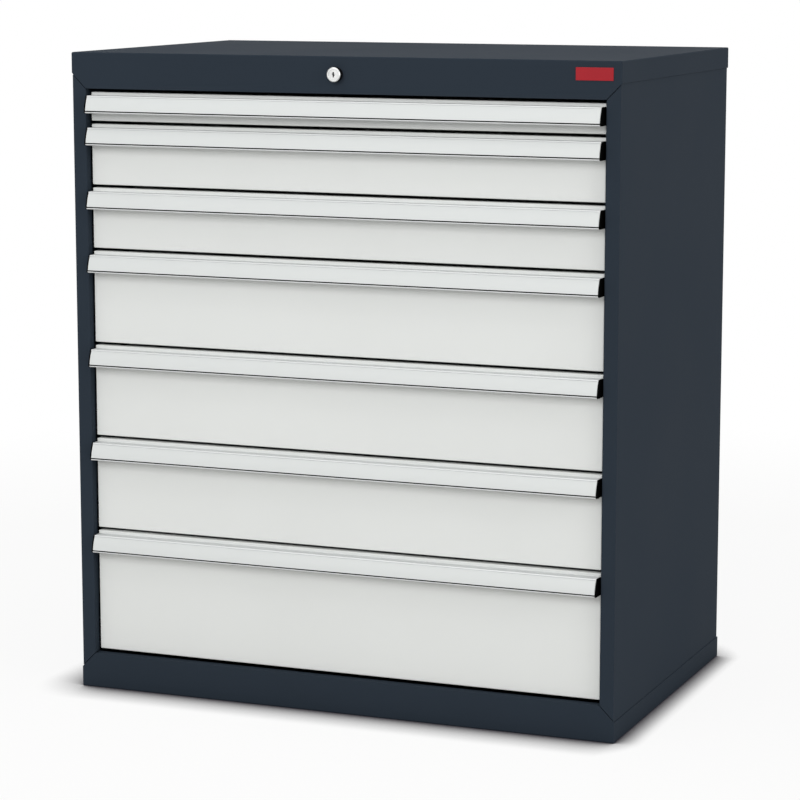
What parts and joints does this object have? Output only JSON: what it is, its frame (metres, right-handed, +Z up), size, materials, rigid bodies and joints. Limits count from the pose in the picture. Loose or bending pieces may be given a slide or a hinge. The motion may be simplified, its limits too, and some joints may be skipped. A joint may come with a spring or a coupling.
{
  "type": "drawer cabinet",
  "caption": "Steel floor cabinet with full-extension drawers under grip rails, and one central lock.",
  "frame": {"origin": "centre of the base's underside, on the floor", "axes": "+Z up, -Y the way the drawers open, +X to the right as seen from the front"},
  "size_m": [0.9, 0.5856, 1.019],
  "materials": {
    "carcass_paint": "satin anthracite powder coat",
    "drawer_paint": "satin light grey powder coat",
    "grip_aluminium": "satin, light",
    "cap_plastic": "matt black",
    "label_white": "smooth white",
    "slide_steel": "zinc plated",
    "lock_nickel": "nickel plated",
    "plate_red": "smooth red, blank"
  },
  "bodies": {
    "cabinet": {"base_tray": "carcass_paint", "top_cover": "carcass_paint", "side_panel_right": "carcass_paint", "side_panel_left": "carcass_paint", "back_panel": "carcass_paint", "name_plate": "plate_red", "cabinet_rails": "slide_steel", "lock_housing": "lock_nickel"},
    "lock": {"lock_core": "lock_nickel", "lock_shaft": "slide_steel"},
    "lock_bar": {"lock_bar": "slide_steel"},
    "drawer_1": {"drawer_1_front": "drawer_paint", "drawer_1_box": "drawer_paint", "drawer_1_grip": "grip_aluminium", "drawer_1_end_caps": "cap_plastic", "drawer_1_label_strip": "label_white", "drawer_1_runners": "slide_steel"},
    "carriage_1": {"slide_1_carriage": "slide_steel"},
    "drawer_2": {"drawer_2_front": "drawer_paint", "drawer_2_box": "drawer_paint", "drawer_2_grip": "grip_aluminium", "drawer_2_end_caps": "cap_plastic", "drawer_2_label_strip": "label_white", "drawer_2_runners": "slide_steel"},
    "carriage_2": {"slide_2_carriage": "slide_steel"},
    "drawer_3": {"drawer_3_front": "drawer_paint", "drawer_3_box": "drawer_paint", "drawer_3_grip": "grip_aluminium", "drawer_3_end_caps": "cap_plastic", "drawer_3_label_strip": "label_white", "drawer_3_runners": "slide_steel"},
    "carriage_3": {"slide_3_carriage": "slide_steel"},
    "drawer_4": {"drawer_4_front": "drawer_paint", "drawer_4_box": "drawer_paint", "drawer_4_grip": "grip_aluminium", "drawer_4_end_caps": "cap_plastic", "drawer_4_label_strip": "label_white", "drawer_4_runners": "slide_steel"},
    "carriage_4": {"slide_4_carriage": "slide_steel"},
    "drawer_5": {"drawer_5_front": "drawer_paint", "drawer_5_box": "drawer_paint", "drawer_5_grip": "grip_aluminium", "drawer_5_end_caps": "cap_plastic", "drawer_5_label_strip": "label_white", "drawer_5_runners": "slide_steel"},
    "carriage_5": {"slide_5_carriage": "slide_steel"},
    "drawer_6": {"drawer_6_front": "drawer_paint", "drawer_6_box": "drawer_paint", "drawer_6_grip": "grip_aluminium", "drawer_6_end_caps": "cap_plastic", "drawer_6_label_strip": "label_white", "drawer_6_runners": "slide_steel"},
    "carriage_6": {"slide_6_carriage": "slide_steel"},
    "drawer_7": {"drawer_7_front": "drawer_paint", "drawer_7_box": "drawer_paint", "drawer_7_grip": "grip_aluminium", "drawer_7_end_caps": "cap_plastic", "drawer_7_label_strip": "label_white", "drawer_7_runners": "slide_steel"},
    "carriage_7": {"slide_7_carriage": "slide_steel"}
  },
  "joints": [
    {"name": "drawer_1_slide", "type": "slide", "parent": "cabinet", "child": "drawer_1", "axis": [0, -1, 0], "range_m": [0, 0.5]},
    {"name": "carriage_1_slide", "type": "slide", "parent": "cabinet", "child": "carriage_1", "axis": [0, -1, 0], "range_m": [0, 0.25]},
    {"name": "drawer_2_slide", "type": "slide", "parent": "cabinet", "child": "drawer_2", "axis": [0, -1, 0], "range_m": [0, 0.5]},
    {"name": "carriage_2_slide", "type": "slide", "parent": "cabinet", "child": "carriage_2", "axis": [0, -1, 0], "range_m": [0, 0.25]},
    {"name": "drawer_3_slide", "type": "slide", "parent": "cabinet", "child": "drawer_3", "axis": [0, -1, 0], "range_m": [0, 0.5]},
    {"name": "carriage_3_slide", "type": "slide", "parent": "cabinet", "child": "carriage_3", "axis": [0, -1, 0], "range_m": [0, 0.25]},
    {"name": "drawer_4_slide", "type": "slide", "parent": "cabinet", "child": "drawer_4", "axis": [0, -1, 0], "range_m": [0, 0.5]},
    {"name": "carriage_4_slide", "type": "slide", "parent": "cabinet", "child": "carriage_4", "axis": [0, -1, 0], "range_m": [0, 0.25]},
    {"name": "drawer_5_slide", "type": "slide", "parent": "cabinet", "child": "drawer_5", "axis": [0, -1, 0], "range_m": [0, 0.5]},
    {"name": "carriage_5_slide", "type": "slide", "parent": "cabinet", "child": "carriage_5", "axis": [0, -1, 0], "range_m": [0, 0.25]},
    {"name": "drawer_6_slide", "type": "slide", "parent": "cabinet", "child": "drawer_6", "axis": [0, -1, 0], "range_m": [0, 0.5]},
    {"name": "carriage_6_slide", "type": "slide", "parent": "cabinet", "child": "carriage_6", "axis": [0, -1, 0], "range_m": [0, 0.25]},
    {"name": "drawer_7_slide", "type": "slide", "parent": "cabinet", "child": "drawer_7", "axis": [0, -1, 0], "range_m": [0, 0.5]},
    {"name": "carriage_7_slide", "type": "slide", "parent": "cabinet", "child": "carriage_7", "axis": [0, -1, 0], "range_m": [0, 0.25]},
    {"name": "lock_turn", "type": "hinge", "parent": "cabinet", "child": "lock", "pos_m": [0, -0.2, 0.992], "axis": [0, 1, 0], "range_deg": [0, 90]},
    {"name": "lock_bar_lift", "type": "slide", "parent": "cabinet", "child": "lock_bar", "axis": [0, 0, 1], "range_m": [0, 0.014]}
  ],
  "couplings": [
    {"joint": "carriage_1_slide", "follows": "drawer_1_slide", "ratio": 0.5},
    {"joint": "carriage_2_slide", "follows": "drawer_2_slide", "ratio": 0.5},
    {"joint": "carriage_3_slide", "follows": "drawer_3_slide", "ratio": 0.5},
    {"joint": "carriage_4_slide", "follows": "drawer_4_slide", "ratio": 0.5},
    {"joint": "carriage_5_slide", "follows": "drawer_5_slide", "ratio": 0.5},
    {"joint": "carriage_6_slide", "follows": "drawer_6_slide", "ratio": 0.5},
    {"joint": "carriage_7_slide", "follows": "drawer_7_slide", "ratio": 0.5},
    {"joint": "lock_turn", "follows": "lock_bar_lift", "rad_per_m": 112.2}
  ]
}
